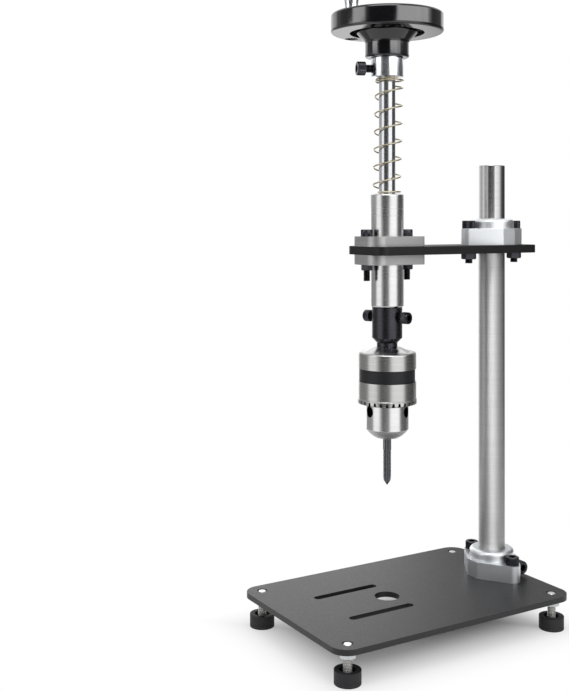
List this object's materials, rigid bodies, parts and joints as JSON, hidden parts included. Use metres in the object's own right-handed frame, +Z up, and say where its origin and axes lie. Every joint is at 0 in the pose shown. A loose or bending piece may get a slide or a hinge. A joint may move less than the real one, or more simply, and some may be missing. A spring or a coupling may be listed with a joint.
{
  "type": "manual tapping machine",
  "caption": "Manual tapping machine: a hand-turned, spring-returned spindle with a keyed chuck, on an arm that slides and swings on a round column above a slotted base plate.",
  "frame": {"origin": "on the floor, below the middle of the machine's outline", "axes": "+Z up; +X to the right as the user faces the machine; the spindle is in front towards -Y and the column behind towards +Y"},
  "size_m": [0.133, 0.2134, 0.4983],
  "materials": {
    "powder_coat": "matte",
    "arm_paint": "matte",
    "foot_rubber": "matte",
    "zinc_plate": "satin",
    "clamp_aluminium": "satin",
    "black_oxide": "satin",
    "ground_steel": "polished",
    "turned_steel": "satin",
    "bush_bronze": "satin",
    "spring_wire": "satin",
    "bright_plate": "polished",
    "wheel_plastic": "gloss",
    "band_black": "satin",
    "tool_steel": "satin"
  },
  "bodies": {
    "base": {"base_plate": "powder_coat", "foot_pad_front_left": "foot_rubber", "foot_pad_front_right": "foot_rubber", "foot_pad_rear_left": "foot_rubber", "foot_pad_rear_right": "foot_rubber", "foot_studs": "zinc_plate", "foot_lock_nuts": "zinc_plate", "base_clamp": "clamp_aluminium", "base_clamp_bolts": "black_oxide", "base_clamp_nuts": "zinc_plate", "base_clamp_screw": "black_oxide"},
    "column": {"column": "ground_steel"},
    "arm": {"arm_plate": "arm_paint", "arm_clamp": "clamp_aluminium", "arm_clamp_bolts": "black_oxide", "arm_clamp_nuts": "black_oxide", "arm_clamp_screw": "black_oxide", "upper_guide": "turned_steel", "lower_guide": "turned_steel", "upper_bush": "bush_bronze", "lower_bush": "bush_bronze", "guide_bolts": "black_oxide", "guide_nuts": "black_oxide"},
    "spring_carrier": {"return_spring": "spring_wire"},
    "spindle": {"spindle_shaft": "ground_steel", "hub_collar": "bright_plate", "collar_screw": "black_oxide", "handwheel": "wheel_plastic", "handle_stud": "zinc_plate", "handle_nut": "zinc_plate", "chuck_adapter": "black_oxide", "adapter_screws": "black_oxide", "chuck_body": "turned_steel", "tap": "tool_steel"},
    "handle": {"handle_grip": "bright_plate"},
    "chuck_sleeve": {"chuck_sleeve": "turned_steel", "chuck_band": "band_black", "chuck_nut": "turned_steel"},
    "jaw_1": {"chuck_jaw_1": "tool_steel"},
    "jaw_2": {"chuck_jaw_2": "tool_steel"},
    "jaw_3": {"chuck_jaw_3": "tool_steel"}
  },
  "joints": [
    {"name": "column_swivel", "type": "hinge", "parent": "base", "child": "column", "pos_m": [0, 0.07775, 0.0258], "axis": [0, 0, 1], "continuous": true},
    {"name": "arm_height", "type": "slide", "parent": "column", "child": "arm", "axis": [0, 0, 1], "range_m": [-0.018, 0.04]},
    {"name": "spindle_feed", "type": "slide", "parent": "arm", "child": "spring_carrier", "axis": [0, 0, 1], "range_m": [-0.06, 0], "stiffness_N_per_m": 400, "springref_m": 0.04, "deforming": ["return_spring"]},
    {"name": "spindle_turn", "type": "hinge", "parent": "spring_carrier", "child": "spindle", "pos_m": [0, -0.02225, 0.2738], "axis": [0, 0, 1], "continuous": true},
    {"name": "handle_spin", "type": "hinge", "parent": "spindle", "child": "handle", "pos_m": [-0.03284, -0.03105, 0.4488], "axis": [0, 0, 1], "continuous": true},
    {"name": "chuck_sleeve_turn", "type": "hinge", "parent": "spindle", "child": "chuck_sleeve", "pos_m": [0, -0.02225, 0.1788], "axis": [0, 0, 1], "range_deg": [0, 3500]},
    {"name": "jaw_1_slide", "type": "slide", "parent": "spindle", "child": "jaw_1", "axis": [0.0059, 0.2249, 0.9744], "range_m": [0, 0.01556]},
    {"name": "jaw_2_slide", "type": "slide", "parent": "spindle", "child": "jaw_2", "axis": [-0.1977, -0.1073, 0.9744], "range_m": [0, 0.01556]},
    {"name": "jaw_3_slide", "type": "slide", "parent": "spindle", "child": "jaw_3", "axis": [0.1918, -0.1175, 0.9744], "range_m": [0, 0.01556]}
  ],
  "couplings": [
    {"joint": "jaw_1_slide", "follows": "chuck_sleeve_turn", "m_per_rad": 0.00025465},
    {"joint": "jaw_2_slide", "follows": "chuck_sleeve_turn", "m_per_rad": 0.00025465},
    {"joint": "jaw_3_slide", "follows": "chuck_sleeve_turn", "m_per_rad": 0.00025465}
  ]
}
